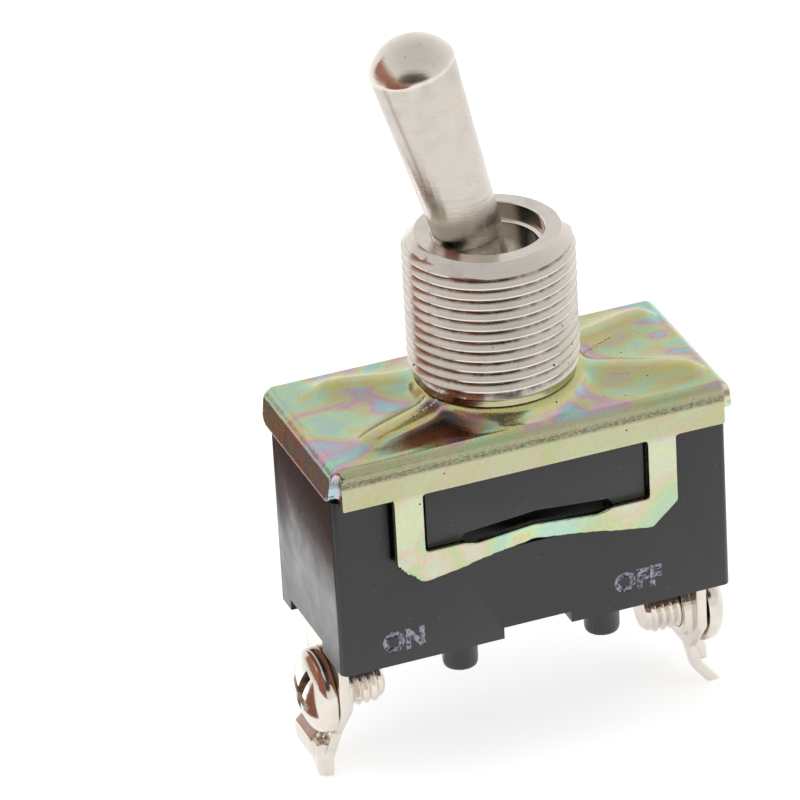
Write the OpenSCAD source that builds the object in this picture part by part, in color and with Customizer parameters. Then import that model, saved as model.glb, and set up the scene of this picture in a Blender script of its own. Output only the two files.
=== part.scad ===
// Panel toggle switch, single pole, on and off: a nickel plated lever in a
// threaded bushing, a folded and embossed steel cover whose two straps hold a
// black moulded case, and two screw terminals. Millimetres. The origin is on
// the bushing's axis where the thread begins, +Z up along the bushing, +X
// towards the OFF end, and -Y towards the front.

/* [Bushing] */
// Major radius of the thread
thread_r = 5.95; // [5.9:0.05:6.2]
// Height of the threaded barrel above its foot
thread_h = 9.96; // [9:0.1:12]
// Radius of the plain relief under the thread
relief_r = 5.64; // [5.5:0.02:5.8]
// Height of the relief
relief_h = 0.8; // [0.6:0.1:1.2]
// Radius of the mouth bore
mouth_r = 3.89; // [3.8:0.01:4.1]
// Depth of the mouth bore
mouth_depth = 1.3; // [1:0.1:1.6]
// Outer radius of the flat rim
rim_r = 5.09; // [4.8:0.05:5.2]
// Width of the keyway
key_w = 2.2; // [1.8:0.1:2.6]
// Distance of the keyway's floor from the axis
key_floor = 5.0; // [4.9:0.05:5.3]

/* [Lever] */
// Lean of the lever to each side of the bushing's axis, in degrees
lean = 14.5; // [12:0.5:15]
// Height of the pivot above the foot of the thread
pivot_z = 4.7; // [4.6:0.1:4.9]
// Radius of the ball
ball_r = 3.2; // [3.15:0.01:3.25]
// Radius of the neck between the ball and the handle
neck_r = 2.12; // [2:0.02:2.16]
// Distance from the pivot to the foot of the handle
handle_start = 5.4; // [5.2:0.1:6]
// Radius of the handle at its foot
handle_r1 = 2.3; // [2.2:0.05:2.35]
// Radius of the handle at its head
handle_r2 = 3; // [2.6:0.05:3.2]
// Distance from the pivot to the handle's head, where its dome begins
dome_at = 19.4; // [15:0.5:22]
// Height of the dome
dome_h = 1.88; // [1.5:0.05:2.6]
// Radius of the stem below the ball
stem_r = 1.85; // [1.7:0.05:1.9]
// Length of the stem below the pivot
stem_l = 10.5; // [9.5:0.1:10.8]

/* [Plunger] */
// Radius of the plunger and its round tip
plunger_r = 1.2; // [1.1:0.05:1.25]
// Distance of the tip's centre from the rocker's level line when the lever is upright
tip_clear = 1.1; // [1.05:0.05:1.3]
// Radius of the spring's wire
wire_r = 0.16; // [0.12:0.01:0.2]
// Number of turns of the spring
spring_turns = 6; // [5:1:8]

/* [Cover] */
// Length over the end flanges
cover_l = 29.4; // [29.3:0.05:30]
// Width over the front and back flanges
cover_w = 14.3; // [14:0.05:14.6]
// Thickness of the steel
sheet_t = 0.7; // [0.6:0.05:0.8]
// Outer radius of the folds
fold_r = 0.95; // [0.85:0.05:1.1]
// Height of the raised cross above the flat of the cover
emboss_h = 1.3; // [1.1:0.1:1.5]
// Depth of the front and back flanges below the flat
flange_drop = 3.05; // [2.8:0.05:3.3]
// Depth of the end flanges below the flat
end_drop = 2.55; // [2.3:0.05:2.8]
// How far the front and back flanges stop short of the cover's ends
flange_short = 0.65; // [0.5:0.05:0.9]
// How far the end flanges stop short of the straps' faces
end_short = 0.6; // [0.5:0.05:0.75]
// Half width of a strap's window
window_x = 8.27; // [8.2:0.01:8.5]
// Width of a strap's leg
leg_w = 2.08; // [1.9:0.02:2.3]
// Depth of the window below the flat
window_drop = 7.55; // [7.4:0.05:7.7]

/* [Case] */
// How far the cover's ends stand out past the case
end_lip = 0.22; // [0.1:0.01:0.25]
// Gap between the case's face and a strap
face_gap = 0.35; // [0.2:0.01:0.45]
// Height of the case below the cover's steel
case_h = 15.77; // [15.7:0.05:16.5]
// Radius of the upright edges
case_edge_r = 0.5; // [0.3:0.05:0.7]
// Thickness of the end walls outside the terminals
end_wall = 0.63; // [0.55:0.01:0.7]
// Thickness of the end walls inside the terminals
inner_wall = 0.45; // [0.35:0.05:0.7]
// Thickness of the front and back walls
side_wall = 1.7; // [1.6:0.05:1.9]
// Thickness of the floor
floor_t = 1.97; // [1.9:0.01:2.2]
// How far the strap pads stand out of the case's face
pad_out = 0.65; // [0.5:0.05:0.7]
// Depth of the channels under the strap's legs
channel_d = 0.5; // [0.3:0.05:0.55]
// Depth of the pocket under a pad
pocket_d = 1.2; // [1:0.05:1.3]
// Height of the recesses in the underside
foot_h = 0.85; // [0.6:0.05:0.9]
// Radius of the posts under the case
post_r = 1.25; // [1:0.05:1.4]
// Length of the posts
post_l = 1.9; // [1.5:0.1:2.5]

/* [Terminals] */
// Thickness of the terminals and their straps
brass_t = 0.75; // [0.7:0.01:0.8]
// Width of a terminal's plate
plate_w = 6.6; // [6.2:0.1:6.8]
// Width of the straps inside the case
strap_w = 5.2; // [5:0.1:5.6]
// Depth of the screws' axis below the case
screw_drop = 4.33; // [4.2:0.01:4.6]
// Radius of the terminal screws' thread
screw_r = 1.7; // [1.5:0.05:1.75]
// Length of a terminal screw under its head
screw_l = 4.05; // [3.5:0.05:5]
// Radius of the screws' heads
head_r = 3.1; // [2.8:0.05:3.2]
// How far the OFF end's screw is backed out
backed_out = 0.25; // [0.05:0.05:0.5]
// Length of a terminal below the case
plate_drop = 11; // [10.8:0.1:11.6]

/* [Contacts] */
// Tilt of the rocker to each side, in degrees
rocker_tilt = 9; // [8.9:0.1:9.1]
// Half length of the rocker
rocker_x = 8.9; // [8.6:0.1:9.2]
// Width of the rocker
rocker_w = 4.4; // [4:0.1:4.5]
// Thickness of the rocker
rocker_t = 0.8; // [0.75:0.01:0.85]
// Depth of the rocker's trough
trough_dip = 0.7; // [0.68:0.01:0.75]
// Half width of the rocker's trough
trough_x = 3; // [2.9:0.05:3.1]
// Radius of the rocker's pin
rocker_pin_r = 0.5; // [0.45:0.01:0.52]
// Distance of the contacts from the rocker's ends
contact_in = 1.3; // [1.2:0.1:1.5]
// Radius of the contact heads
contact_r = 1.3; // [1.2:0.05:1.4]
// Height of the contact heads
contact_h = 0.5; // [0.45:0.01:0.55]

/* [Hidden] */
$fn = 64;
fit = 0.03;                 // running clearance on a radius
slack = 0.05;               // clearance between parts that lie side by side
bite = 1;                   // how far a cutting body runs past what it cuts
cover_z = -(relief_h + emboss_h);          // flat of the cover
flange_l = cover_l - 2 * flange_short;
end_flange_w = cover_w - 2 * end_short;
case_l = cover_l - 2 * end_lip;
case_w = cover_w - 2 * (sheet_t + face_gap);
cavity_y = case_w / 2 - side_wall;
contact_x = rocker_x - contact_in;
case_top = cover_z - sheet_t;
case_z = case_top - case_h;                // underside of the case
floor_z = case_z + floor_t;
plate_x = case_l / 2 - end_wall - slack - brass_t;  // inner face of a terminal's plate
cavity_x = plate_x - slack - inner_wall;
neck_hole_r = 4.95;                        // bushing's neck in the cover
staked_h = 0.8;
bore_r = ball_r + slack;                   // lower bore of the bushing
flare_r = bore_r + 0.87;
flare_z = 1;                               // where the lower bore widens
neck_z = cover_z + emboss_h - sheet_t;     // underside of the raised boss
bushing_z = neck_z - staked_h;             // lower end of the bushing
seat_angle = 30;                           // where the ball's seat ends
ledge_r = mouth_r - 0.34;
dome_r = (handle_r2 * handle_r2 + dome_h * dome_h) / (2 * dome_h);
pin_r = 0.6;
pin_half = 4.25;
spring_bore_r = plunger_r + fit;
spring_top = 1.9;                          // distances below the pivot
spring_end = 6;
window_z0 = cover_z - flange_drop;         // top of the window
window_z1 = cover_z - window_drop;         // bottom of the window
leg_x = window_x + leg_w;
leg_z = cover_z - 8.2;                     // where the strap's corner is cut
bar_z = cover_z - 9.88;                    // lowest corners of the bar
bar_end_x = 8.4;
bar_rise = 0.84;                           // the bar's lower edge rises to its middle
lip_half = 4.4;                            // half width of the bar's pressed middle
lip_step = 1;
lip_drop = 0.33;
lip_sink = 0.85;                           // how far the bar's middle is pressed in
pad_gap = 0.25;                            // between a pad and its window
pad_x = window_x - pad_gap;
notch_x = 5.3;                             // notch in the pad's lower edge
notch_h = 0.5;
notch_rise = 0.45;
notch_slope = 0.35;
pocket_z = cover_z - 9.35;                 // lower edge of the pocket
boss_r = 5.9;                              // top of the boss under the bushing
boss_slope = 0.6;
boss_x = 0.3;                              // the boss and the cross stand a little
cross_x = 0.9;                             // off the bushing's axis
cross_inset = 0.38;                        // the cross's underside is smaller all round
staked_r = boss_r - cross_inset - boss_x - slack;   // bushing's rim inside the boss
arm_x = cover_l / 2 - 2.8;                 // ends of the arms from the cross's middle
arm_y = cover_w / 2 - 2.85;
arm_r = 0.95;                              // half width of an arm's top
arm_slope = 0.7;
arm_end_h = 0.75;                          // height of an arm near its end
end_flare = 0.2;                           // the end flanges lean out a little
end_corner_r = 0.9;
liner_t = 0.8;                             // insulating plate
liner_x = cavity_x - slack;
liner_y = case_w / 2 - 0.9;
liner_hole = 4.35;
screw_z = case_z - screw_drop;
head_edge_h = 0.55;
head_dome_h = 1.3;
line_turn = 70;                            // how far each head is turned
load_turn = 25;
collar_r = 2.35;
collar_h = 0.55;
post_x = 5.3;
post_y = case_w / 2 - 1.5;
foot_x = 2.5;                              // half width of the recess between the posts
end_foot = 1.4;                            // the recesses round the terminals
end_foot_y = 2.2;
channel_gap = 0.35;
rocker_apex = floor_z + 4;                 // where the level arms would meet
rocker_z = rocker_apex - 1.6;              // rocker's pivot
barrel_r = 0.95;
tip_at = pivot_z - rocker_apex - tip_clear;
arm_top = rocker_z + (rocker_apex - rocker_z) * cos(rocker_tilt);
contact_gap = slack;
arm_t = rocker_t * cos(rocker_tilt);
step_z = arm_top - arm_t - 2 * contact_h - contact_gap - brass_t;
saddle_t = 0.6;
saddle_x = 3.4;
step_x = saddle_x + 0.5;                   // where the higher floor begins
ear_y = rocker_w / 2 + 0.15;
strap_top = floor_z + brass_t;
saddle_top = strap_top + saddle_t;
rivet_r = 0.55;
rivet_head_r = 1;
rivet_head_h = 0.35;
rivet_bite = 1;                            // how deep a rivet sits in the floor
saddle_rivet_x = 2.55;
line_rivet_x = plate_x - 3.55;
load_rivet_x = plate_x - 2.15;
front_taper = 2.6;                         // a terminal's cut front corner
taper_z = case_z - 4.9;
ear_z = screw_z - head_r - slack;          // a terminal's ear leans out under the head
ear_lean = 1.3;
ear_end_z = case_z - 9.6;
ear_r = 0.9;                               // rounding of the ear's corner
prong_y0 = -1.2;
prong_y1 = -0.1;
prong_gap = 0.2;                           // between a prong and its ear

nickel = [0.80, 0.77, 0.72];
chromate = [0.80, 0.76, 0.52];
black_plastic = [0.07, 0.07, 0.08];
nylon = [0.90, 0.88, 0.80];
brass = [0.80, 0.66, 0.36];
copper = [0.78, 0.50, 0.34];
silver = [0.86, 0.86, 0.87];
fibre = [0.45, 0.18, 0.12];
steel = [0.62, 0.63, 0.65];

// A box between two corners
module between(a, b) {
    translate(a) cube(b - a);
}

// A bar along Y with its outline drawn in the XZ plane
module along_y(y0, y1) {
    translate([0, y1, 0]) rotate([90, 0, 0]) linear_extrude(y1 - y0) children();
}

// A bar along X with its outline drawn in the YZ plane
module along_x(x0, x1) {
    translate([x0, 0, 0]) rotate([90, 0, 90]) linear_extrude(x1 - x0) children();
}

// A rectangle with round corners
module round_rect(half_x, half_y, r) {
    square([2 * half_x, 2 * (half_y - r)], center = true);
    square([2 * (half_x - r), 2 * half_y], center = true);
    for (sx = [-1, 1], sy = [-1, 1])
        translate([sx * (half_x - r), sy * (half_y - r)]) circle(r);
}

// Both of a mirrored pair
module pair(axis) {
    children();
    mirror(axis) children();
}

// A child that leans with the lever
module leaning() {
    translate([0, 0, pivot_z]) rotate([0, -lean, 0]) children();
}

// A child that tilts with the rocker
module tilted() {
    translate([0, 0, rocker_z]) rotate([0, rocker_tilt, 0]) children();
}

// ---- case ----

// The strap's pad, notched along its lower edge
module pad_face() {
    low = window_z1 + slack;
    polygon([[-pad_x, window_z0 - slack], [pad_x, window_z0 - slack], [pad_x, low],
             [notch_x + notch_slope, low], [notch_x, low + notch_h],
             [0, low + notch_h + notch_rise],
             [-notch_x, low + notch_h], [-notch_x - notch_slope, low], [-pad_x, low]]);
}

// The pocket behind the strap's bar, from the notch down past the bar
module pocket_face() {
    low = window_z1 + slack;
    polygon([[-notch_x, low + notch_h], [0, low + notch_h + notch_rise], [notch_x, low + notch_h],
             [notch_x + notch_slope, low], [notch_x + notch_slope, pocket_z],
             [-notch_x - notch_slope, pocket_z], [-notch_x - notch_slope, low]]);
}

module post() {
    translate([0, 0, -post_l + 0.4]) cylinder(h = post_l, r = post_r);
    translate([0, 0, -post_l + 0.4]) intersection() {
        sphere(post_r);
        translate([0, 0, -0.4]) cylinder(h = 0.4, r = post_r);
    }
}

module case_body() color(black_plastic) {
    face_y = case_w / 2;
    shoulder_x = cover_l / 2 - sheet_t - slack;
    shoulder_z = cover_z - end_drop - 0.25;
    rim = fold_r - sheet_t + slack;
    difference() {
        union() {
            translate([0, 0, case_z]) linear_extrude(case_h - rim)
                round_rect(case_l / 2, face_y, case_edge_r);
            between([-shoulder_x + rim, -face_y + rim, case_top - rim],
                    [shoulder_x - rim, face_y - rim, case_top]);
            pair([0, 1, 0]) along_y(-face_y - pad_out, -face_y) pad_face();
            for (sx = [-1, 1], sy = [-1, 1])
                translate([sx * post_x, sy * post_y, case_z]) post();
        }
        // shoulders under the end flanges
        pair([1, 0, 0])
            between([shoulder_x, -case_w, shoulder_z], [case_l, case_w, case_top + bite]);
        // cavity, with a higher floor under the fixed contact
        between([-cavity_x, -cavity_y, floor_z], [step_x, cavity_y, case_top + bite]);
        between([-cavity_x, -cavity_y, step_z], [cavity_x, cavity_y, case_top + bite]);
        // seat of the insulating plate
        between([-liner_x - slack, -liner_y - slack, case_top - liner_t],
                [liner_x + slack, liner_y + slack, case_top + bite]);
        terminal_slot(floor_z);
        mirror([1, 0, 0]) terminal_slot(step_z);
        // channels under the strap's legs, and pockets behind its bars
        pair([0, 1, 0]) {
            pair([1, 0, 0])
                between([pad_x + channel_gap, -face_y - bite, leg_z + 0.2],
                        [leg_x + 0.15, -face_y + channel_d, case_top + bite]);
            along_y(-face_y - pad_out - bite, -face_y + pocket_d) pocket_face();
        }
        // recesses in the underside
        between([-foot_x, -case_w, case_z - bite], [foot_x, case_w, case_z + foot_h]);
        pair([1, 0, 0])
            between([plate_x - end_foot, -end_foot_y, case_z - bite],
                    [case_l, 4, case_z + foot_h]);
        // holes for the rivets
        for (x = [-saddle_rivet_x, saddle_rivet_x, -line_rivet_x])
            translate([x, 0, floor_z - rivet_bite]) cylinder(h = rivet_bite + bite, r = rivet_r);
        translate([load_rivet_x, 0, step_z - rivet_bite])
            cylinder(h = rivet_bite + bite, r = rivet_r);
        translate([contact_x, 0, step_z - rivet_bite])
            cylinder(h = rivet_bite + bite, r = rivet_r + slack);
    }
}

// The slot that grips the left terminal, whose strap lies at height z
module terminal_slot(z) {
    between([-plate_x - brass_t - slack, -plate_w / 2 - slack, case_z - bite],
            [-plate_x + slack, plate_w / 2 + slack, z + brass_t + slack]);
    between([-plate_x, -strap_w / 2 - slack, z],
            [-cavity_x + bite, strap_w / 2 + slack, z + brass_t + slack]);
}

// ---- cover ----

// A fold and its flange: x runs outwards and y up, from the flat's edge
module fold_profile(drop, flare) {
    intersection() {
        difference() {
            translate([0, -fold_r]) circle(fold_r);
            translate([0, -fold_r]) circle(fold_r - sheet_t);
        }
        translate([0, -fold_r]) square(fold_r);
    }
    polygon([[fold_r - sheet_t, -fold_r], [fold_r, -fold_r],
             [fold_r + flare, -drop], [fold_r - sheet_t + flare, -drop]]);
}

// An end flange from the end, with its lower corners rounded
module end_face() {
    half = end_flange_w / 2;
    low = cover_z - end_drop;
    translate([-half, low + end_corner_r]) square([2 * half, end_drop]);
    translate([-half + end_corner_r, low]) square([2 * (half - end_corner_r), end_drop]);
    for (sy = [-1, 1])
        translate([sy * (half - end_corner_r), low + end_corner_r]) circle(end_corner_r);
}

// The raised cross: a round boss under the bushing and four long arms
module cross(z, inset) {
    translate([boss_x, 0, z])
        cylinder(h = emboss_h, r1 = boss_r + boss_slope - inset, r2 = boss_r - inset);
    for (s = [-1, 1]) translate([cross_x, 0, z]) hull() {
        arm_disc(0, s, 0, arm_r + arm_slope - inset);
        arm_disc(0, s, emboss_h - 0.05, arm_r - inset);
        for (e = [-1, 1]) {
            arm_disc(e, s, 0, arm_r + 0.1 - inset);
            arm_disc(0.94 * e, s, arm_end_h, arm_r - 0.1 - inset);
        }
    }
}

// A thin disc on an arm's middle line, e of the way to its end
module arm_disc(e, s, h, r) {
    translate([e * arm_x, e * s * arm_y, h - 0.02]) cylinder(h = 0.02, r = r, $fn = 24);
}

// A strap from the front: two legs and a bar whose middle is narrower
module strap_face() {
    top = window_z0 + 0.1;
    polygon([[-leg_x, top], [-leg_x, leg_z], [-bar_end_x, bar_z],
             [-lip_half, bar_z + 0.75 * bar_rise], [0, bar_z + bar_rise],
             [lip_half, bar_z + 0.75 * bar_rise], [bar_end_x, bar_z],
             [leg_x, leg_z], [leg_x, top], [window_x, top], [window_x, window_z1],
             [lip_half + lip_step, window_z1], [lip_half, window_z1 - lip_drop],
             [-lip_half, window_z1 - lip_drop], [-lip_half - lip_step, window_z1],
             [-window_x, window_z1], [-window_x, top]]);
}

// The same strap from above: flat, with its middle pressed in
module strap_plan() {
    y = -cover_w / 2;
    half = lip_half + lip_step;
    polygon([[-leg_x, y], [-half, y], [0, y + lip_sink], [half, y], [leg_x, y],
             [leg_x, y + sheet_t], [half, y + sheet_t], [0, y + lip_sink + sheet_t],
             [-half, y + sheet_t], [-leg_x, y + sheet_t]]);
}

module cover_frame() color(chromate) {
    flat_x = cover_l / 2 - fold_r;
    flat_y = cover_w / 2 - fold_r;
    difference() {
        union() {
            between([-flat_x, -end_flange_w / 2, cover_z - sheet_t],
                    [flat_x, end_flange_w / 2, cover_z]);
            between([-flange_l / 2, -flat_y, cover_z - sheet_t],
                    [flange_l / 2, flat_y, cover_z]);
            pair([1, 0, 0]) intersection() {
                translate([flat_x, 0, cover_z])
                    along_y(-end_flange_w / 2, end_flange_w / 2) fold_profile(end_drop, end_flare);
                along_x(flat_x - bite, flat_x + fold_r + bite) end_face();
            }
            pair([0, 1, 0]) translate([0, flat_y, cover_z])
                along_x(-flange_l / 2, flange_l / 2) fold_profile(flange_drop, 0);
            intersection() {
                cross(cover_z, 0);
                between([-flat_x, -flat_y - 0.2, cover_z - sheet_t],
                        [flat_x, flat_y + 0.2, bite]);
            }
            pair([0, 1, 0]) intersection() {
                along_y(-cover_w / 2 - bite, 0) strap_face();
                translate([0, 0, bar_z - bite]) linear_extrude(-bar_z) strap_plan();
            }
        }
        cross(cover_z - sheet_t, cross_inset);
        translate([0, 0, cover_z - bite]) cylinder(h = emboss_h + 2 * bite, r = neck_hole_r);
    }
}

// ---- bushing ----

module threaded_bushing() color(nickel) difference() {
    rotate_extrude() polygon([
        [mouth_r, thread_h], [rim_r, thread_h], [thread_r, thread_h - 0.8],
        [thread_r, 0], [relief_r, 0], [relief_r, -relief_h],
        [neck_hole_r, -relief_h], [neck_hole_r, neck_z], [staked_r, neck_z],
        [staked_r, bushing_z], [flare_r, bushing_z], [bore_r, flare_z],
        for (a = [0:5:seat_angle]) [bore_r * cos(a), pivot_z + bore_r * sin(a)],
        [ledge_r, thread_h - mouth_depth - 0.4],
        [ledge_r, thread_h - mouth_depth], [mouth_r, thread_h - mouth_depth]]);
    between([key_floor, -key_w / 2, 0], [thread_r + bite, key_w / 2, thread_h + bite]);
    // slots that carry the lever's pin
    pair([0, 1, 0]) {
        between([-pin_r - fit, 2, bushing_z - bite], [pin_r + fit, pin_half + 0.1, pivot_z]);
        translate([0, 2, pivot_z]) rotate([-90, 0, 0])
            cylinder(h = pin_half + 0.1 - 2, r = pin_r + fit);
    }
}

// ---- lever ----

module toggle_lever() color(nickel) leaning() difference() {
    union() {
        sphere(ball_r);
        cylinder(h = handle_start, r = neck_r);
        translate([0, 0, handle_start])
            cylinder(h = dome_at - handle_start, r1 = handle_r1, r2 = handle_r2);
        translate([0, 0, dome_at]) intersection() {
            translate([0, 0, dome_h - dome_r]) sphere(dome_r);
            cylinder(h = dome_h + bite, r = handle_r2);
        }
        translate([0, 0, -stem_l]) cylinder(h = stem_l, r = stem_r);
    }
    rotate([90, 0, 0]) cylinder(h = 4 * ball_r, r = pin_r, center = true);
    translate([0, 0, -stem_l - bite]) cylinder(h = stem_l + bite - spring_top, r = spring_bore_r);
}

module lever_pin() color(steel) translate([0, 0, pivot_z]) rotate([90, 0, 0])
    cylinder(h = 2 * pin_half, r = pin_r, center = true);

module plunger() color(nylon) leaning() {
    translate([0, 0, -tip_at]) sphere(plunger_r);
    translate([0, 0, -tip_at]) cylinder(h = tip_at - spring_end, r = plunger_r);
}

// Points of one ring of the spring's wire, a part t of the way along it
function coil_ring(t, coil_r, z0, z1) = [
    for (i = [0:7])
        let (turn = 360 * spring_turns * t, a = 45 * i, r = coil_r + wire_r * cos(a))
            [r * cos(turn), r * sin(turn), z0 + (z1 - z0) * t + wire_r * sin(a)]];

module plunger_spring() color(steel) leaning() {
    steps = 12 * spring_turns;
    coil_r = spring_bore_r - wire_r - 0.08;
    z0 = -spring_top - wire_r - 0.02;
    z1 = -spring_end + wire_r + 0.02;
    polyhedron(
        points = [for (s = [0:steps]) each coil_ring(s / steps, coil_r, z0, z1)],
        faces = concat(
            [[for (i = [0:7]) i]],
            [for (s = [0:steps - 1], i = [0:7])
                let (a = 8 * s + i, b = 8 * s + (i + 1) % 8) [a, a + 8, b + 8, b]],
            [[for (i = [7:-1:0]) 8 * steps + i]]));
}

module insulating_plate() color(fibre) difference() {
    between([-liner_x, -liner_y, case_top - liner_t], [liner_x, liner_y, case_top]);
    translate([0, 0, case_top - liner_t - bite]) cylinder(h = liner_t + 2 * bite, r = liner_hole);
}

// ---- terminals ----

// A strip seen from the front that follows points [x, z] of its inner face
module strip(path) {
    outer = [for (i = [len(path) - 1:-1:0])
        let (a = path[max(i - 1, 0)], b = path[min(i + 1, len(path) - 1)],
             d = (b - a) / norm(b - a)) path[i] + brass_t * [-d[1], d[0]]];
    polygon(concat(path, outer));
}

// The plate of a terminal from the side: a cut front corner over the prong
module plate_face(top) {
    half = plate_w / 2;
    polygon([[-half, top], [half, top], [half, ear_z - 0.1], [prong_y1, ear_z - 0.1],
             [prong_y0, ear_z - 0.1],
             [prong_y0, taper_z - front_taper], [-half, taper_z]]);
}

// The ear from the side, with its back corner rounded
module ear_face() {
    y0 = prong_y1 + prong_gap;
    y1 = plate_w / 2;
    polygon([[y0, ear_z], [y1, ear_z],
             for (a = [0:15:90]) [y1 - ear_r + ear_r * cos(a), ear_end_z + ear_r - ear_r * sin(a)],
             [y0, ear_end_z]]);
}

// The prong from the side, with its round end at height z
module prong_face(z) {
    half = (prong_y1 - prong_y0) / 2;
    translate([prong_y0, z + half]) square([2 * half, ear_z + 0.5 - z - half]);
    translate([prong_y0 + half, z + half]) circle(half);
}

// What hangs below the case at the right end; the left end is its mirror
module terminal_plate(top, bend, out) {
    tip_z = case_z - plate_drop;
    difference() {
        union() {
            along_x(plate_x, plate_x + brass_t) plate_face(top);
            intersection() {
                along_x(plate_x - bite, plate_x + 4 * brass_t) ear_face();
                along_y(prong_y1, plate_w / 2)
                    strip([[plate_x, ear_z], [plate_x + ear_lean, ear_z - 1.2],
                           [plate_x + ear_lean, ear_end_z - bite]]);
            }
            intersection() {
                along_x(plate_x - bite, plate_x + 6 * brass_t) prong_face(tip_z);
                along_y(prong_y0, prong_y1)
                    strip([[plate_x, ear_z + 0.5], [plate_x, ear_z],
                           [plate_x + bend, ear_z - 2],
                           [plate_x + bend + out, tip_z - 0.3]]);
            }
            translate([plate_x - collar_h, 0, screw_z]) rotate([0, 90, 0])
                cylinder(h = collar_h, r = collar_r);
        }
        translate([plate_x - bite, 0, screw_z]) rotate([0, 90, 0])
            cylinder(h = brass_t + 2 * bite, r = screw_r + fit);
    }
}

module line_terminal() color(brass) difference() {
    union() {
        mirror([1, 0, 0]) terminal_plate(strap_top, 0.75, 0);
        between([-plate_x - brass_t, -strap_w / 2, floor_z],
                [saddle_x, strap_w / 2, strap_top]);
    }
    for (x = [-saddle_rivet_x, saddle_rivet_x, -line_rivet_x])
        translate([x, 0, floor_z - bite]) cylinder(h = brass_t + 2 * bite, r = rivet_r);
}

module load_terminal() color(brass) difference() {
    union() {
        terminal_plate(step_z + brass_t, 0.5, 1.45);
        between([contact_x - 2, -strap_w / 2, step_z],
                [plate_x + brass_t, strap_w / 2, step_z + brass_t]);
    }
    translate([load_rivet_x, 0, step_z - bite]) cylinder(h = brass_t + 2 * bite, r = rivet_r);
    translate([contact_x, 0, step_z - bite]) cylinder(h = brass_t + 2 * bite, r = rivet_r);
}

// A pan head screw along X: its head stands on x = 0 and points along +X
module terminal_screw(turn) rotate([turn, 0, 0]) difference() {
    rotate([0, 90, 0]) rotate_extrude() polygon([
        [0, -screw_l], [screw_r - 0.3, -screw_l], [screw_r, -screw_l + 0.3],
        [screw_r, 0], [head_r, 0], [head_r, head_edge_h],
        for (a = [15:15:90]) [head_r * cos(a), head_edge_h + head_dome_h * sin(a)]]);
    // slot, with a cross over it
    between([head_edge_h + 0.35, -head_r - bite, -0.35],
            [head_edge_h + head_dome_h + bite, head_r + bite, 0.35]);
    between([head_edge_h + 0.1, -0.4, -1.7],
            [head_edge_h + head_dome_h + bite, 0.4, 1.7]);
}

module line_screw() color(nickel) translate([-plate_x - brass_t, 0, screw_z])
    mirror([1, 0, 0]) terminal_screw(line_turn);

module load_screw() color(nickel) translate([plate_x + brass_t + backed_out, 0, screw_z])
    terminal_screw(load_turn);

// ---- contacts ----

module rocker_blade() color(copper) tilted() difference() {
    apex = rocker_apex - rocker_z;
    slope = tan(rocker_tilt);
    union() {
        along_y(-rocker_w / 2, rocker_w / 2) polygon([
            [-rocker_x, apex + rocker_x * slope], [-trough_x, apex + trough_x * slope],
            [0, apex - trough_dip], [trough_x, apex + trough_x * slope],
            [rocker_x, apex + rocker_x * slope],
            [rocker_x, apex + rocker_x * slope - rocker_t],
            [trough_x, apex + trough_x * slope - rocker_t],
            [0, apex - trough_dip - rocker_t],
            [-trough_x, apex + trough_x * slope - rocker_t],
            [-rocker_x, apex + rocker_x * slope - rocker_t]]);
        rotate([90, 0, 0]) cylinder(h = rocker_w, r = barrel_r, center = true);
    }
    rotate([90, 0, 0]) cylinder(h = rocker_w + bite, r = rocker_pin_r + fit, center = true);
    // the contact's hole stands square to the right arm, which is level at rest
    rotate([0, -rocker_tilt, 0]) translate([contact_x, 0, 0])
        cylinder(h = 6, r = rivet_r, center = true);
}

// A contact rivet: its head points down
module contact_rivet(grip) {
    translate([0, 0, -contact_h]) cylinder(h = contact_h, r = contact_r);
    cylinder(h = grip, r = rivet_r);
}

module moving_contact() color(silver)
    translate([contact_x, 0, arm_top - arm_t]) contact_rivet(arm_t);

module fixed_contact() color(silver) translate([contact_x, 0, step_z + brass_t])
    mirror([0, 0, 1]) contact_rivet(brass_t);

module rocker_saddle() color(brass) difference() {
    union() {
        between([-saddle_x, -ear_y - saddle_t, strap_top], [saddle_x, ear_y + saddle_t, saddle_top]);
        pair([0, 1, 0]) along_y(ear_y, ear_y + saddle_t) {
            translate([-1.5, strap_top]) square([3, rocker_z - strap_top]);
            translate([0, rocker_z]) circle(1.5);
        }
    }
    translate([0, 0, rocker_z]) rotate([90, 0, 0])
        cylinder(h = 2 * (ear_y + saddle_t + bite), r = rocker_pin_r, center = true);
    for (x = [-saddle_rivet_x, saddle_rivet_x])
        translate([x, 0, strap_top - bite]) cylinder(h = saddle_t + 2 * bite, r = rivet_r);
}

module rocker_pin() color(steel) translate([0, 0, rocker_z]) rotate([90, 0, 0])
    cylinder(h = 2 * (ear_y + saddle_t + 0.15), r = rocker_pin_r, center = true);

// A rivet driven into the floor; z is the face under its head
module floor_rivet(x, z, grip) color(brass) translate([x, 0, z]) {
    cylinder(h = rivet_head_h, r = rivet_head_r);
    translate([0, 0, -grip - rivet_bite]) cylinder(h = grip + rivet_bite, r = rivet_r);
}

module saddle_rivet_a() floor_rivet(-saddle_rivet_x, saddle_top, saddle_t + brass_t);
module saddle_rivet_b() floor_rivet(saddle_rivet_x, saddle_top, saddle_t + brass_t);
module line_strap_rivet() floor_rivet(-line_rivet_x, strap_top, brass_t);
module load_strap_rivet() floor_rivet(load_rivet_x, step_z + brass_t, brass_t);

case_body();
cover_frame();
threaded_bushing();
toggle_lever();
lever_pin();
plunger();
plunger_spring();
insulating_plate();
line_terminal();
load_terminal();
line_screw();
load_screw();
rocker_blade();
moving_contact();
fixed_contact();
rocker_saddle();
rocker_pin();
saddle_rivet_a();
saddle_rivet_b();
line_strap_rivet();
load_strap_rivet();
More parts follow.
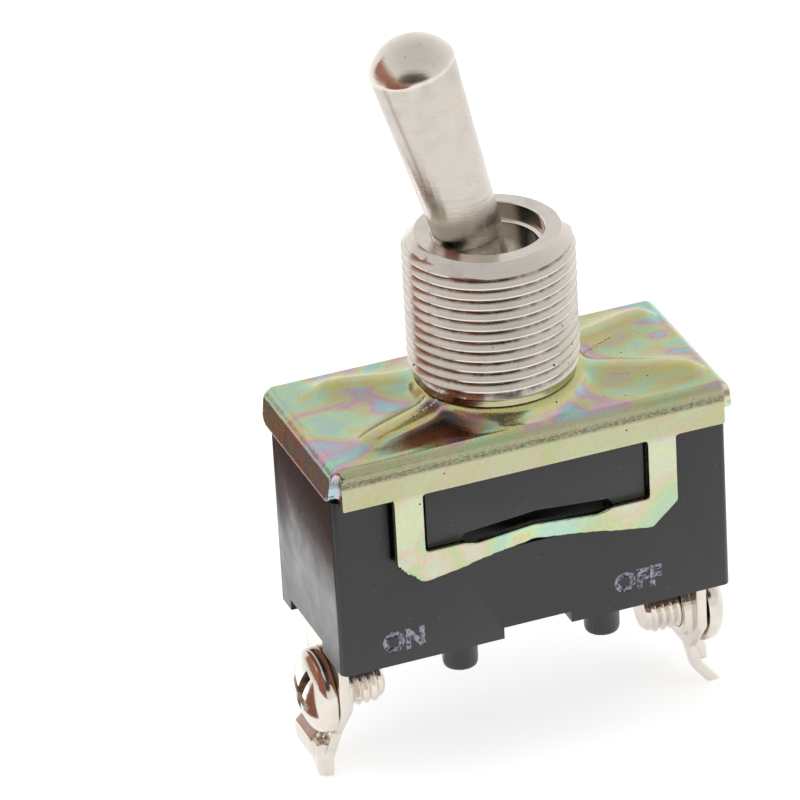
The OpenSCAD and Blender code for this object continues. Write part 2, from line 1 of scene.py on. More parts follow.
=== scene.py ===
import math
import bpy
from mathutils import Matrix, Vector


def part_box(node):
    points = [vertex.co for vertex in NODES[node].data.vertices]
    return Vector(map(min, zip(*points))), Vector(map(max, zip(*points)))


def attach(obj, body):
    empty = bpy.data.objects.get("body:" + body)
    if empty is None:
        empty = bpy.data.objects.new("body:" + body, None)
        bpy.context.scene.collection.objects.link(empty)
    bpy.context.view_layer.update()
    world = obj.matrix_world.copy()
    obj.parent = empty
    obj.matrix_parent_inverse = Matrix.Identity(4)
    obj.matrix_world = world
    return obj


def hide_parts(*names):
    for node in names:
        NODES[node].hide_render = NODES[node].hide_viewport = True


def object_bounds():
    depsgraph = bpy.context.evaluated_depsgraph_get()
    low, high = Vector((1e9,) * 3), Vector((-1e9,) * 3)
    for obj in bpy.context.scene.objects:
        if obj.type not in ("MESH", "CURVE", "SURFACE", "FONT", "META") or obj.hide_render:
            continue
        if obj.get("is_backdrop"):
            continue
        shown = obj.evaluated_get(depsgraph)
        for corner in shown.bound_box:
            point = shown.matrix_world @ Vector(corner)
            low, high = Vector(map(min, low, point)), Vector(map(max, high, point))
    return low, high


bl_info = {
    "name": "Panel toggle switch",
    "version": (1, 0, 0),
    "blender": (4, 5, 0),
    "location": "View3D > Sidebar > Toggle switch",
    "description": "Dresses a panel toggle switch: thread, screws, cover, lettering and finishes",
    "category": "Object",
}

import bmesh
import bpy
import numpy as np
from mathutils import Euler, Matrix, Vector

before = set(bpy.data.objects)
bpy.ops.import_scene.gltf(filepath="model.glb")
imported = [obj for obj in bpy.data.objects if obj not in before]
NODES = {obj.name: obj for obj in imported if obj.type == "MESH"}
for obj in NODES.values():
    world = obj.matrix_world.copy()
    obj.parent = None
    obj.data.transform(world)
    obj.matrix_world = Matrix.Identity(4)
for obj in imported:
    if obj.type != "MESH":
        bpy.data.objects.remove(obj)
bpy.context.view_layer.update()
MM = 0.001
LEAN = math.radians(14.5)      # of the lever at rest, from the upright
PIVOT_Z = 4.7                  # height of the ball's centre, in millimetres
PIVOT = Vector((0, 0, PIVOT_Z * MM))
BALL_R = 3.2


# ---- sizes and colours a user may change ----


class SwitchLooks(bpy.types.PropertyGroup):
    thread_pitch: bpy.props.FloatProperty(
        name="Thread pitch", description="Rise of one turn of the bushing's thread",
        default=0.79 * MM, min=0.4 * MM, max=1.5 * MM, unit="LENGTH", precision=5)
    thread_depth: bpy.props.FloatProperty(
        name="Thread depth", description="From the thread's crest to its root",
        default=0.42 * MM, min=0.1 * MM, max=0.6 * MM, unit="LENGTH", precision=5)
    screw_pitch: bpy.props.FloatProperty(
        name="Screw pitch", description="Rise of one turn of a terminal screw's thread",
        default=0.6 * MM, min=0.4 * MM, max=1.0 * MM, unit="LENGTH", precision=5)
    sheet_grain: bpy.props.FloatProperty(
        name="Sheet grain", description="Size of the faces that the pressed cover is modelled with",
        default=0.14 * MM, min=0.1 * MM, max=0.5 * MM, unit="LENGTH", precision=5)
    case_edge: bpy.props.FloatProperty(
        name="Case edge", description="Rounding of the moulded case's edges",
        default=0.09 * MM, min=0.02 * MM, max=0.3 * MM, unit="LENGTH", precision=5)
    text_height: bpy.props.FloatProperty(
        name="Letter height", description="Height of the printed capitals",
        default=1.42 * MM, min=0.5 * MM, max=3 * MM, unit="LENGTH", precision=5)
    nickel: bpy.props.FloatVectorProperty(
        name="Nickel", description="Colour of the nickel plating",
        default=(0.73, 0.675, 0.61), subtype="COLOR", min=0, max=1)
    gold: bpy.props.FloatVectorProperty(
        name="Chromate", description="Main colour of the cover's yellow chromate",
        default=(0.64, 0.61, 0.29), subtype="COLOR", min=0, max=1)
    moulding: bpy.props.FloatVectorProperty(
        name="Moulding", description="Colour of the black case",
        default=(0.011, 0.011, 0.012), subtype="COLOR", min=0, max=1)
    print_colour: bpy.props.FloatVectorProperty(
        name="Print", description="Colour of the printed words",
        default=(0.60, 0.63, 0.76), subtype="COLOR", min=0, max=1)


def looks():
    return bpy.context.scene.switch_looks


# ---- modelling helpers ----


def only(obj):
    bpy.ops.object.select_all(action="DESELECT")
    obj.select_set(True)
    bpy.context.view_layer.objects.active = obj


def edit(obj, select="SELECT"):
    only(obj)
    bpy.ops.object.mode_set(mode="EDIT")
    bpy.ops.mesh.select_mode(type="VERT")
    bpy.ops.mesh.select_all(action=select)


def leave():
    bpy.ops.object.mode_set(mode="OBJECT")


def settle(obj, angle=35):
    """Puts the object's place into its mesh and smooths all but its sharp edges."""
    only(obj)
    bpy.ops.object.transform_apply(location=True, rotation=True, scale=True)
    bpy.ops.object.shade_smooth_by_angle(angle=math.radians(angle))
    return obj


def mend(obj, near=2e-6):
    """Merges doubles and turns all faces outwards."""
    edit(obj)
    bpy.ops.mesh.remove_doubles(threshold=near)
    bpy.ops.mesh.normals_make_consistent(inside=False)
    leave()


def outline(name, points, close=True):
    """A row of edges in the XZ plane, drawn point after point from one vertex."""
    bpy.ops.object.select_all(action="DESELECT")
    bpy.ops.mesh.primitive_plane_add(size=MM, location=(0, 0, 0))
    obj = bpy.context.object
    obj.name = obj.data.name = name
    edit(obj)
    bpy.ops.mesh.merge(type="CENTER")
    at = Vector((points[0][0] * MM, 0, points[0][1] * MM))
    bpy.ops.transform.translate(value=at)
    for x, z in points[1:]:
        to = Vector((x * MM, 0, z * MM))
        bpy.ops.mesh.extrude_region_move(TRANSFORM_OT_translate={"value": to - at})
        at = to
    if close:
        leave()
        count = len(obj.data.vertices)
        edit(obj, "DESELECT")
        shape = bmesh.from_edit_mesh(obj.data)
        shape.verts.ensure_lookup_table()
        shape.verts[0].select = shape.verts[count - 1].select = True
        bpy.ops.mesh.edge_face_add()
    leave()
    return obj


def turned(name, points, steps=128):
    """A turned solid: an outline of [radius, height] spun about Z."""
    on_axis = points[0][0] == 0 and points[-1][0] == 0
    obj = outline(name, points, close=not on_axis)
    edit(obj)
    bpy.ops.mesh.spin(steps=steps, angle=2 * math.pi, center=(0, 0, 0), axis=(0, 0, 1))
    leave()
    mend(obj)
    return obj


def block(name, low, high):
    """A box between two corners, in millimetres."""
    low, high = Vector(low) * MM, Vector(high) * MM
    bpy.ops.object.select_all(action="DESELECT")
    bpy.ops.mesh.primitive_cube_add(size=1, location=(low + high) / 2)
    obj = bpy.context.object
    obj.name = name
    obj.scale = high - low
    bpy.ops.object.transform_apply(location=True, rotation=True, scale=True)
    return obj


def combine(obj, other, how):
    """Joins or cuts with another solid, which is used up."""
    tool = obj.modifiers.new(how, "BOOLEAN")
    tool.operation = how
    tool.solver = "EXACT"
    tool.object = other
    only(obj)
    bpy.ops.object.modifier_apply(modifier=tool.name)
    bpy.data.objects.remove(other)
    return obj


def points_of(obj):
    co = np.zeros(len(obj.data.vertices) * 3)
    obj.data.vertices.foreach_get("co", co)
    return co.reshape(-1, 3)


def put_points(obj, co):
    obj.data.vertices.foreach_set("co", co.reshape(-1))
    obj.data.update()


def threaded_rod(name, crest, depth, pitch, low, high, steps=128):
    """A closed rod between two heights with a helical thread, in millimetres."""
    root = crest - depth
    tooth = [[root, 0], [root + 0.03, 0.04 * pitch], [crest, 0.40 * pitch],
             [crest, 0.52 * pitch], [root + 0.03, 0.92 * pitch], [root, pitch]]
    obj = outline(name, tooth, close=False)
    edit(obj)
    bpy.ops.transform.translate(value=(0, 0, (low - 2 * pitch) * MM))
    leave()
    screw = obj.modifiers.new("thread", "SCREW")
    screw.axis, screw.angle, screw.screw_offset = "Z", 2 * math.pi, pitch * MM
    screw.iterations = math.ceil((high - low) / pitch) + 4
    screw.steps = screw.render_steps = steps
    screw.use_merge_vertices, screw.merge_threshold = True, 2e-6
    only(obj)
    bpy.ops.object.modifier_apply(modifier=screw.name)
    edit(obj)
    bpy.ops.mesh.remove_doubles(threshold=2e-6)
    for height, side in ((high, 1), (low, -1)):
        bpy.ops.mesh.select_all(action="SELECT")
        bpy.ops.mesh.bisect(plane_co=(0, 0, height * MM), plane_no=(0, 0, side),
                            use_fill=True, clear_outer=True, threshold=1e-8)
    bpy.ops.mesh.select_all(action="SELECT")
    bpy.ops.mesh.normals_make_consistent(inside=False)
    leave()
    return obj


def trim_radius(obj, limit):
    """Draws points in to a radius that depends on their height, in millimetres."""
    co = points_of(obj)
    r = np.hypot(co[:, 0], co[:, 1])
    most = np.interp(co[:, 2] / MM, [h for h, _ in limit], [q for _, q in limit]) * MM
    share = np.where(r > most, most / np.maximum(r, 1e-9), 1)
    co[:, :2] *= share[:, None]
    put_points(obj, co)


def pressed_copy(name, node, grain, soften, added=()):
    """A copy of a solid and what is added to it, with fine even faces and soft edges."""
    source = NODES[node]
    obj = bpy.data.objects.new(name, source.data.copy())
    obj.data.name = name
    bpy.context.collection.objects.link(obj)
    obj.data.materials.clear()
    mend(obj, 1e-6)
    only(obj)
    for extra in added:
        extra.select_set(True)
        bpy.ops.object.join()
    co = points_of(obj)
    put_points(obj, co / MM)
    obj.data.remesh_voxel_size = grain / MM
    obj.data.remesh_voxel_adaptivity = 0
    bpy.ops.object.voxel_remesh()
    edit(obj)
    bpy.ops.mesh.vertices_smooth(factor=0.5, repeat=soften)
    leave()
    put_points(obj, points_of(obj) * MM)
    return obj


def neighbour_mean(obj, values, rounds):
    """Averages values over each vertex's neighbours again and again."""
    count = len(obj.data.vertices)
    ends = np.zeros(len(obj.data.edges) * 2, int)
    obj.data.edges.foreach_get("vertices", ends)
    a, b = ends[0::2], ends[1::2]
    links = np.maximum(np.bincount(a, minlength=count) + np.bincount(b, minlength=count), 1)
    for _ in range(rounds):
        total = np.zeros_like(values)
        for c in range(values.shape[1]):
            total[:, c] = (np.bincount(a, values[b, c], count)
                           + np.bincount(b, values[a, c], count))
        values = total / links[:, None]
    return values


def mark_hollows(obj, rounds, reach):
    """Writes an attribute that is 0.5 on flat faces, more in hollows and less on ridges."""
    co = points_of(obj)
    normal = np.zeros(len(co) * 3)
    obj.data.vertices.foreach_get("normal", normal)
    depth = ((neighbour_mean(obj, co, rounds) - co) * normal.reshape(-1, 3)).sum(1)
    mark = obj.data.attributes.new("hollow", "FLOAT", "POINT")
    level = np.clip(0.5 + depth / (2 * reach * MM), 0, 1)
    mark.data.foreach_set("value", level.astype(np.float32))


# ---- finishes ----


NODE_KINDS = {
    "ATTR": "ShaderNodeAttribute",
    "BUMP": "ShaderNodeBump",
    "CELLS": "ShaderNodeTexVoronoi",
    "LENGTH": "ShaderNodeVectorMath",
    "MAP": "ShaderNodeMapping",
    "MATH": "ShaderNodeMath",
    "MIX": "ShaderNodeMix",
    "NOISE": "ShaderNodeTexNoise",
    "RAMP": "ShaderNodeValToRGB",
    "RANGE": "ShaderNodeMapRange",
    "SPLIT": "ShaderNodeSeparateXYZ",
    "TEX_COORD": "ShaderNodeTexCoord",
}


class Finish:
    """A material and the shader nodes that it is put together from."""

    def __init__(self, name, metallic=0.0):
        self.material = bpy.data.materials.new(name)
        self.material.use_nodes = True
        self.tree = self.material.node_tree
        self.shader = next(n for n in self.tree.nodes if n.type == "BSDF_PRINCIPLED")
        self.shader.inputs["Metallic"].default_value = metallic
        self.place = self.add("TEX_COORD").outputs["Object"]

    @classmethod
    def take(cls, material):
        """The finish that a material already has, to add to it."""
        f = cls.__new__(cls)
        f.material, f.tree = material, material.node_tree
        f.shader = next(n for n in f.tree.nodes if n.type == "BSDF_PRINCIPLED")
        f.place = next(n for n in f.tree.nodes if n.type == "TEX_COORD").outputs["Object"]
        return f

    def feed(self, socket, value):
        """Links a node's output to a socket, or sets the socket to a plain value."""
        if hasattr(value, "is_output"):
            self.tree.links.new(value, socket)
        else:
            socket.default_value = value

    def add(self, kind, **inputs):
        node = self.tree.nodes.new(NODE_KINDS[kind])
        for key, value in inputs.items():
            self.feed(node.inputs[key.replace("_", " ")], value)
        return node

    def in_mm(self, turn=(0, 0, 0), shift=(0, 0, 0), stretch=(1, 1, 1)):
        """Object coordinates in millimetres, turned and stretched."""
        node = self.add("MAP", Vector=self.place)
        node.vector_type = "POINT"
        node.inputs["Scale"].default_value = [1000 * s for s in stretch]
        node.inputs["Rotation"].default_value = turn
        node.inputs["Location"].default_value = shift
        return node.outputs[0]

    def noise(self, at, scale, detail=3.0, rough=0.55, distort=0.0):
        return self.add("NOISE", Vector=at, Scale=scale, Detail=detail, Roughness=rough,
                        Distortion=distort).outputs[0]

    def cells(self, at, scale, how="F1"):
        node = self.add("CELLS", Vector=at, Scale=scale)
        node.feature = how
        return node.outputs[0]

    def reach(self, x, y, z):
        """How far a point is from a place, in millimetres."""
        length = self.add("LENGTH")
        length.operation = "LENGTH"
        self.tree.links.new(self.in_mm(shift=(-x, -y, -z)), length.inputs[0])
        return length.outputs["Value"]

    def near(self, x, y, z, size):
        """1 within a size of a place in millimetres and 0 outside, with a ragged edge."""
        ragged = self.maths("ADD", self.reach(x, y, z),
                            self.maths("MULTIPLY", self.noise(self.in_mm(), 5.0, 3.0, 0.7), size))
        return self.span(ragged, size * 1.5, size * 1.35, 0, 1)

    def span(self, value, low, high, to_low=0.0, to_high=1.0):
        node = self.add("RANGE", Value=value)
        ends = {"From Min": low, "From Max": high, "To Min": to_low, "To Max": to_high}
        for key, number in ends.items():
            node.inputs[key].default_value = number
        return node.outputs[0]

    def maths(self, how, a, b=0.5):
        node = self.add("MATH")
        node.operation = how
        for socket, value in zip(node.inputs, (a, b)):
            self.feed(socket, value)
        return node.outputs[0]

    def ramp(self, value, stops, how="LINEAR"):
        node = self.add("RAMP", Fac=value)
        node.color_ramp.interpolation = how
        points = node.color_ramp.elements
        while len(points) < len(stops):
            points.new(0.5)
        for point, (at, colour) in zip(points, stops):
            point.position = at
            point.color = (*colour, 1)
        return node.outputs[0]

    def blend(self, share, a, b, how="MIX"):
        node = self.add("MIX")
        node.data_type, node.blend_type = "RGBA", how
        for socket, value in ((node.inputs[0], share), (node.inputs[6], a), (node.inputs[7], b)):
            plain = hasattr(value, "is_output") or isinstance(value, (int, float))
            self.feed(socket, value if plain else (*value, 1))
        return node.outputs[2]

    def bump(self, height, strength, distance, under=None):
        node = self.add("BUMP", Height=height, Strength=strength, Distance=distance)
        if under is not None:
            self.tree.links.new(under, node.inputs["Normal"])
        return node.outputs[0]

    def drive(self, **sockets):
        for key, value in sockets.items():
            self.feed(self.shader.inputs[key.replace("_", " ")], value)
        return self.material


def tint(colour, by):
    return tuple(min(1, c * by) for c in colour)


def specks(f, at, scale, share, size=0.12):
    """Small scattered dots: 1 in a dot, 0 outside; share is the part of the cells with one."""
    near = f.span(f.cells(at, scale), size * 0.55, size, 1, 0)
    pick = f.span(f.noise(at, scale * 0.9, 0.0), 1 - share, 1 - share + 0.02)
    return f.maths("MULTIPLY", near, pick)


def nickel_plate(name, turn=0.0, marks=0.5, rough=0.2, warm=1.0):
    """Nickel over turned or pressed brass, with tool marks round the part's own axis."""
    colour = tuple(looks().nickel)
    f = Finish(name, 1.0)
    at = f.in_mm()
    along = f.in_mm(turn=(0, turn, 0), stretch=(0.12, 0.12, 3.2))
    rings = f.noise(along, 2.2, 5.0, 0.7)
    cloud = f.noise(at, 0.45, 3.0, 0.6, 0.4)
    base = f.ramp(cloud, [(0.3, tint(colour, 0.90)), (0.5, colour),
                          (0.72, (min(1, colour[0] * 1.06), colour[1] * 1.03, colour[2] * 0.98 * warm))])
    streak = f.span(rings, 0.56, 0.72, 0, 0.16)
    base = f.blend(streak, base, tint(colour, 0.62))
    dashes = f.noise(f.in_mm(turn=(0, turn, 0), stretch=(0.55, 0.55, 5.0)), 1.5, 4.0, 0.75)
    base = f.blend(f.span(dashes, 0.60, 0.74, 0, 0.55 * marks), base, (0.26, 0.23, 0.19))
    dots = specks(f, at, 1.6, 0.33, 0.10)
    base = f.blend(dots, base, (0.05, 0.035, 0.025))
    fine = f.noise(at, 9.0, 2.0)
    gloss = f.span(f.maths("ADD", rings, f.maths("MULTIPLY", fine, 0.5)),
                   0.5, 1.1, rough * 0.75, rough * 1.5)
    relief = f.bump(rings, marks, 0.00002)
    relief = f.bump(fine, 0.18, 0.000012, relief)
    return f.drive(Base_Color=base, Roughness=gloss, Normal=relief)


def chromate_film(f):
    """How thick the chromate film is, drifting over the whole cover."""
    wide = f.noise(f.in_mm(turn=(0, 0, 0.3), stretch=(0.75, 1.1, 1.1), shift=(4, 9, 2)),
                   0.15, 1.5, 0.5, 1.6)
    close = f.noise(f.in_mm(stretch=(0.6, 1.2, 1.0)), 0.42, 2.0, 0.5, 1.2)
    film = f.maths("ADD", f.maths("MULTIPLY", wide, 1.02), f.maths("MULTIPLY", close, 0.20))
    return f.maths("SUBTRACT", film, 0.105)


def film_colour(f, film):
    """The colours that the film shows as it thickens: green, gold, pink, blue and green again."""
    return f.ramp(film, [(0.34, (0.46, 0.64, 0.54)), (0.41, (0.52, 0.70, 0.46)),
                         (0.46, tuple(looks().gold)), (0.50, (0.62, 0.56, 0.42)),
                         (0.535, (0.66, 0.42, 0.46)), (0.57, (0.54, 0.50, 0.58)),
                         (0.61, (0.42, 0.58, 0.63)), (0.67, (0.43, 0.70, 0.50))])


def flange_film(f, base, film, side, z):
    """The flanges are creamier than the top, and duller just above the straps."""
    cream = f.blend(f.span(film, 0.44, 0.56), (0.45, 0.56, 0.34), (0.67, 0.61, 0.38))
    base = f.blend(f.maths("MULTIPLY", side, 0.66), base, cream)
    shade = f.maths("MULTIPLY", f.span(z, -5.4, -4.9), side)
    return f.blend(f.maths("MULTIPLY", shade, 0.55), base, (0.40, 0.40, 0.20))


def fold_painted_reflection(f, base, from_middle, z):
    """A painted dark reflection: a dark, grainy band where the sheet was folded down."""
    grit = f.span(f.noise(f.in_mm(stretch=(0.8, 1.5, 1.5)), 4.5, 4.0, 0.75), 0.36, 0.60, 0.35, 1)
    fold = f.maths("MULTIPLY", f.span(z, -2.65, -3.0), f.span(z, -3.50, -3.25))
    fold = f.maths("MULTIPLY", f.maths("MULTIPLY", fold, grit),
                   f.span(from_middle, 6.3, 6.6, 0, 0.9))
    # painted dark reflection along the fold, broken up by noise
    return f.blend(fold, base, (0.10, 0.095, 0.07))


def pocket_film_and_painted_reflection(f, base, hollow, inside, z):
    """Brown to black on the steep sides of the hollow at the boss's front left: the brown is the
    chromate's own film, the black a painted dark reflection.
    """
    pocket = f.maths("MULTIPLY", f.span(f.reach(-6.2, -5.0, -1.9), 5.0, 2.0),
                     f.span(z, -1.0, -1.35))
    film_and_reflection_share = f.maths("MULTIPLY", f.span(hollow, 0.505, 0.575, 0, 1.0),
                    f.maths("MULTIPLY", pocket, inside))
    # brown film, turning to a painted dark reflection where the slope is steepest
    steep = f.ramp(hollow, [(0.56, (0.36, 0.15, 0.09)), (0.66, (0.08, 0.08, 0.07))])
    return f.blend(film_and_reflection_share, base, steep)


def hollows_and_crumbs(f, base, at, hollow):
    """Darker brown in the deepest hollows, and crumbs, each a place and a size in millimetres."""
    patchy = f.span(f.noise(at, 1.1, 4.0, 0.6), 0.45, 0.62, 0, 0.20)
    # darker brown, in patches, where the hollows are deepest
    deep_hollow_dark = f.maths("MULTIPLY", f.span(hollow, 0.74, 0.95), patchy)
    base = f.blend(deep_hollow_dark, base, (0.16, 0.12, 0.08))
    crumbs = ((-8.33, 1.26, -0.9, 0.26), (-7.1, 0.9, -0.9, 0.10), (-10.2, -7.1, -10.4, 0.10))
    for crumb in crumbs:
        base = f.blend(f.near(*crumb), base, (0.02, 0.018, 0.012))
    return base


def yellow_chromate(name):
    """Zinc with a yellow chromate film: dust, pits, crumbs, a brown film by the boss, darker deep
    hollows, painted highlights on ridges and painted dark reflections at the fold and by the boss.
    """
    f = Finish(name, 1.0)
    at = f.in_mm()
    hollow = f.add("ATTR")
    hollow.attribute_name = "hollow"
    hollow = hollow.outputs["Fac"]
    x, y, z = f.add("SPLIT", Vector=at).outputs
    from_middle = f.maths("ABSOLUTE", y)
    inside = f.maths("MULTIPLY", f.span(f.maths("ABSOLUTE", x), 13.6, 13.0),
                     f.span(from_middle, 6.3, 5.9))
    side = f.span(from_middle, 6.6, 6.9, 0, 1)
    film = chromate_film(f)
    base = film_colour(f, film)
    # painted highlight: the ridges of the embossing are painted a lighter yellow
    ridge_highlight = f.maths("MULTIPLY", f.span(hollow, 0.46, 0.36, 0, 0.75), inside)
    base = f.blend(ridge_highlight, base, (0.66, 0.62, 0.24))
    base = flange_film(f, base, film, side, z)
    base = fold_painted_reflection(f, base, from_middle, z)
    base = pocket_film_and_painted_reflection(f, base, hollow, inside, z)
    base = hollows_and_crumbs(f, base, at, hollow)
    grain = f.noise(at, 6.5, 4.0, 0.7)
    base = f.blend(1.0, base, f.span(grain, 0.30, 0.70, 0.88, 1.04), "MULTIPLY")
    dust = f.maths("MULTIPLY", f.span(f.noise(at, 3.5, 3.0, 0.7), 0.60, 0.70, 0, 0.4),
                   f.span(f.noise(at, 0.5, 1.0), 0.45, 0.6))
    base = f.blend(dust, base, (0.30, 0.27, 0.20))
    pits = specks(f, at, 1.15, 0.40, 0.11)
    base = f.blend(pits, base, (0.035, 0.03, 0.02))
    gloss = f.span(grain, 0.3, 0.7, 0.17, 0.30)
    relief = f.bump(grain, 0.22, 0.000015)
    relief = f.bump(f.noise(at, 0.7, 2.0), 0.35, 0.00010, relief)
    relief = f.bump(pits, -0.6, 0.00003, relief)
    return f.drive(Base_Color=base, Roughness=gloss, Normal=relief)


def black_moulding(name):
    """Black phenolic: a dull skin with dust, scuffs and fine scratches."""
    colour = tuple(looks().moulding)
    f = Finish(name)
    at = f.in_mm()
    cloud = f.noise(at, 0.35, 3.0, 0.6)
    base = f.ramp(cloud, [(0.3, tint(colour, 0.8)), (0.7, tint(colour, 1.35))])
    scuff = f.span(f.noise(f.in_mm(stretch=(1.0, 1.0, 0.25)), 5.0, 5.0, 0.75), 0.60, 0.76, 0, 0.20)
    base = f.blend(scuff, base, (0.10, 0.10, 0.10))
    dust = specks(f, at, 2.4, 0.36, 0.09)
    base = f.blend(f.maths("MULTIPLY", dust, 0.8), base, (0.35, 0.34, 0.31))
    scratch = f.noise(f.in_mm(turn=(0.5, 0.35, 0), stretch=(0.3, 1.0, 7.0)), 1.4, 4.0, 0.8)
    line = f.span(scratch, 0.70, 0.73, 0, 0.30)
    base = f.blend(line, base, (0.12, 0.12, 0.12))
    fine = f.noise(at, 12.0, 3.0, 0.7)
    gloss = f.span(f.maths("ADD", cloud, f.maths("MULTIPLY", fine, 0.4)), 0.45, 0.95, 0.24, 0.42)
    relief = f.bump(fine, 0.22, 0.00001)
    relief = f.bump(f.noise(at, 0.5, 1.0), 0.25, 0.00008, relief)
    f.shader.inputs["Specular IOR Level"].default_value = 0.6
    return f.drive(Base_Color=base, Roughness=gloss, Normal=relief)


def pad_print(name):
    """Worn ink on the case: where it has rubbed off, the black shows."""
    f = Finish(name)
    at = f.in_mm()
    ink = tuple(looks().print_colour)
    wear = f.noise(at, 2.6, 5.0, 0.75)
    grit = f.noise(at, 9.0, 2.0, 0.6)
    keep = f.span(f.maths("ADD", wear, f.maths("MULTIPLY", grit, 0.40)), 0.66, 0.78, 1, 0)
    tone = f.ramp(grit, [(0.3, tint(ink, 0.55)), (0.7, ink)])
    base = f.blend(keep, (0.03, 0.03, 0.032), tone)
    return f.drive(Base_Color=base, Roughness=f.span(wear, 0.3, 0.7, 0.5, 0.7))


def plain_metal(name, colour, rough, scale=2.0, stain=(0.2, 0.15, 0.1)):
    """Bare or plated metal inside the case, a little stained and brushed."""
    f = Finish(name, 1.0)
    at = f.in_mm()
    cloud = f.noise(at, scale * 0.4, 4.0, 0.6, 0.5)
    base = f.ramp(cloud, [(0.3, tint(colour, 0.82)), (0.6, colour), (0.8, tint(colour, 1.08))])
    base = f.blend(f.span(f.noise(at, scale, 4.0, 0.7), 0.6, 0.8, 0, 0.4), base, stain)
    brush = f.noise(f.in_mm(stretch=(0.3, 6.0, 6.0)), 1.5, 3.0)
    return f.drive(Base_Color=base, Roughness=f.span(brush, 0.3, 0.7, rough * 0.7, rough * 1.3),
                   Normal=f.bump(brush, 0.2, 0.00001))


def plain_moulding(name, colour, rough, fleck):
    """Nylon or fibre: soft mottling and a fine skin."""
    f = Finish(name)
    at = f.in_mm()
    base = f.ramp(f.noise(at, 1.2, 4.0, 0.6), [(0.3, tint(colour, 0.85)), (0.7, tint(colour, 1.1))])
    base = f.blend(specks(f, at, 2.0, 0.4, 0.12), base, fleck)
    fine = f.noise(at, 8.0, 3.0, 0.7)
    return f.drive(Base_Color=base, Roughness=f.span(fine, 0.3, 0.7, rough * 0.85, rough * 1.15),
                   Normal=f.bump(fine, 0.25, 0.00001))


def wear(obj, material, slot, body, *stands_for):
    """Gives a piece its finish, its place on a body and the solids it stands for."""
    obj.data.materials.clear()
    obj.data.materials.append(material)
    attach(obj, body)
    if stands_for:
        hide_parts(*stands_for)


# ---- the pieces ----


class SWITCH_OT_bushing(bpy.types.Operator):
    """Turns the bushing: relief, helical thread, chamfered rim, mouth and keyway"""

    bl_idname = "switch.bushing"
    bl_label = "Threaded bushing"

    def execute(self, context):
        own = looks()
        pitch, depth = own.thread_pitch / MM, own.thread_depth / MM
        low, high = (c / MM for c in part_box("threaded_bushing"))
        crest = high.y
        thread_z, lap_z = -0.42, -0.3     # the thread's lower end, and the foot's lap over it
        relief_r, relief_z = 5.64, -0.8
        neck_r, neck_z, staked_r = 4.95, -1.5, 5.15
        seat_r, ledge_r, flare_r = BALL_R + 0.05, 3.55, 4.12
        mouth_r, mouth_z = 3.89, high.z - 1.3
        rod = threaded_rod("bushing", crest, depth, pitch, thread_z, high.z, 144)
        trim_radius(rod, [(thread_z, relief_r), (lap_z, relief_r + 0.02), (0.1, crest),
                          (high.z - 0.8, crest), (high.z - 0.1, 5.12), (high.z, 5.04)])
        foot = turned("foot", [[0, lap_z], [relief_r, lap_z], [relief_r, relief_z],
                               [neck_r, relief_z], [neck_r, neck_z], [staked_r, neck_z],
                               [staked_r, low.z], [0, low.z]])
        combine(rod, foot, "UNION")
        seat = [[seat_r * math.cos(math.radians(a)),
                 PIVOT_Z + seat_r * math.sin(math.radians(a))] for a in range(0, 31, 5)]
        bore = turned("bore", [[0, low.z - 1], [flare_r, low.z - 1], [flare_r, low.z],
                               [seat_r, 1.0], *seat, [ledge_r, high.z - 1.7],
                               [ledge_r, mouth_z - 0.04], [3.62, mouth_z], [3.86, mouth_z],
                               [mouth_r, high.z - 1.2], [mouth_r, high.z - 0.06],
                               [3.97, high.z + 0.02], [3.97, high.z + 1], [0, high.z + 1]])
        combine(rod, bore, "DIFFERENCE")
        combine(rod, block("key", (5.0, -1.1, -0.05), (7.5, 1.1, 12)), "DIFFERENCE")
        slot_half, slot_near, slot_far, slot_top = 0.63, 2.0, 4.35, 5.0
        for side in (-1, 1):
            y = sorted((side * slot_near, side * slot_far))
            slot = block("pin_slot", (-slot_half, y[0], low.z - 1), (slot_half, y[1], slot_top))
            combine(rod, slot, "DIFFERENCE")
        settle(rod, 28)
        finish = nickel_plate("bushing nickel", marks=0.25, rough=0.17)
        tone_bushing(finish)
        wear(rod, finish, "nickel_bushing", "housing", "threaded_bushing")
        return {"FINISHED"}


def tone_bushing(material):
    """Greenish film on the relief under the thread, darker roots, specks low down, and a bore painted
    pale as painted light.
    """
    f = Finish.take(material)
    was = f.shader.inputs["Base Color"].links[0].from_socket
    split = f.add("SPLIT", Vector=f.in_mm())
    height = split.outputs[2]
    across, deep = split.outputs[0], split.outputs[1]
    radius = f.maths("SQRT", f.maths("ADD", f.maths("MULTIPLY", across, across),
                                     f.maths("MULTIPLY", deep, deep)))
    root = f.maths("MULTIPLY", f.span(radius, 5.72, 5.55), f.span(height, 9.4, 9.2))
    root = f.maths("MULTIPLY", root, f.span(radius, 5.30, 5.40))
    patchy = f.span(f.noise(f.in_mm(), 1.3, 4.0, 0.7), 0.35, 0.6, 0.25, 0.85)
    # darker brown, in patches, in the thread's roots
    root_dark = f.maths("MULTIPLY", root, patchy)
    base = f.blend(root_dark, was, (0.10, 0.07, 0.05))
    dots = specks(f, f.in_mm(shift=(3, 1, 2)), 1.3, 0.42, 0.2)
    low_dots = f.maths("MULTIPLY", dots, f.span(height, 5.5, 2.0))
    base = f.blend(low_dots, base, (0.05, 0.035, 0.02))
    base = f.blend(f.span(height, -0.2, -0.45, 0, 0.75), base, (0.42, 0.40, 0.20))
    # painted light: the inside of the bore is painted pale, lighter than the nickel, so that it reads as
    # lit
    mouth = f.span(radius, 4.0, 3.9)
    base = f.blend(mouth, base, (0.92, 0.88, 0.82))
    f.drive(Base_Color=base)


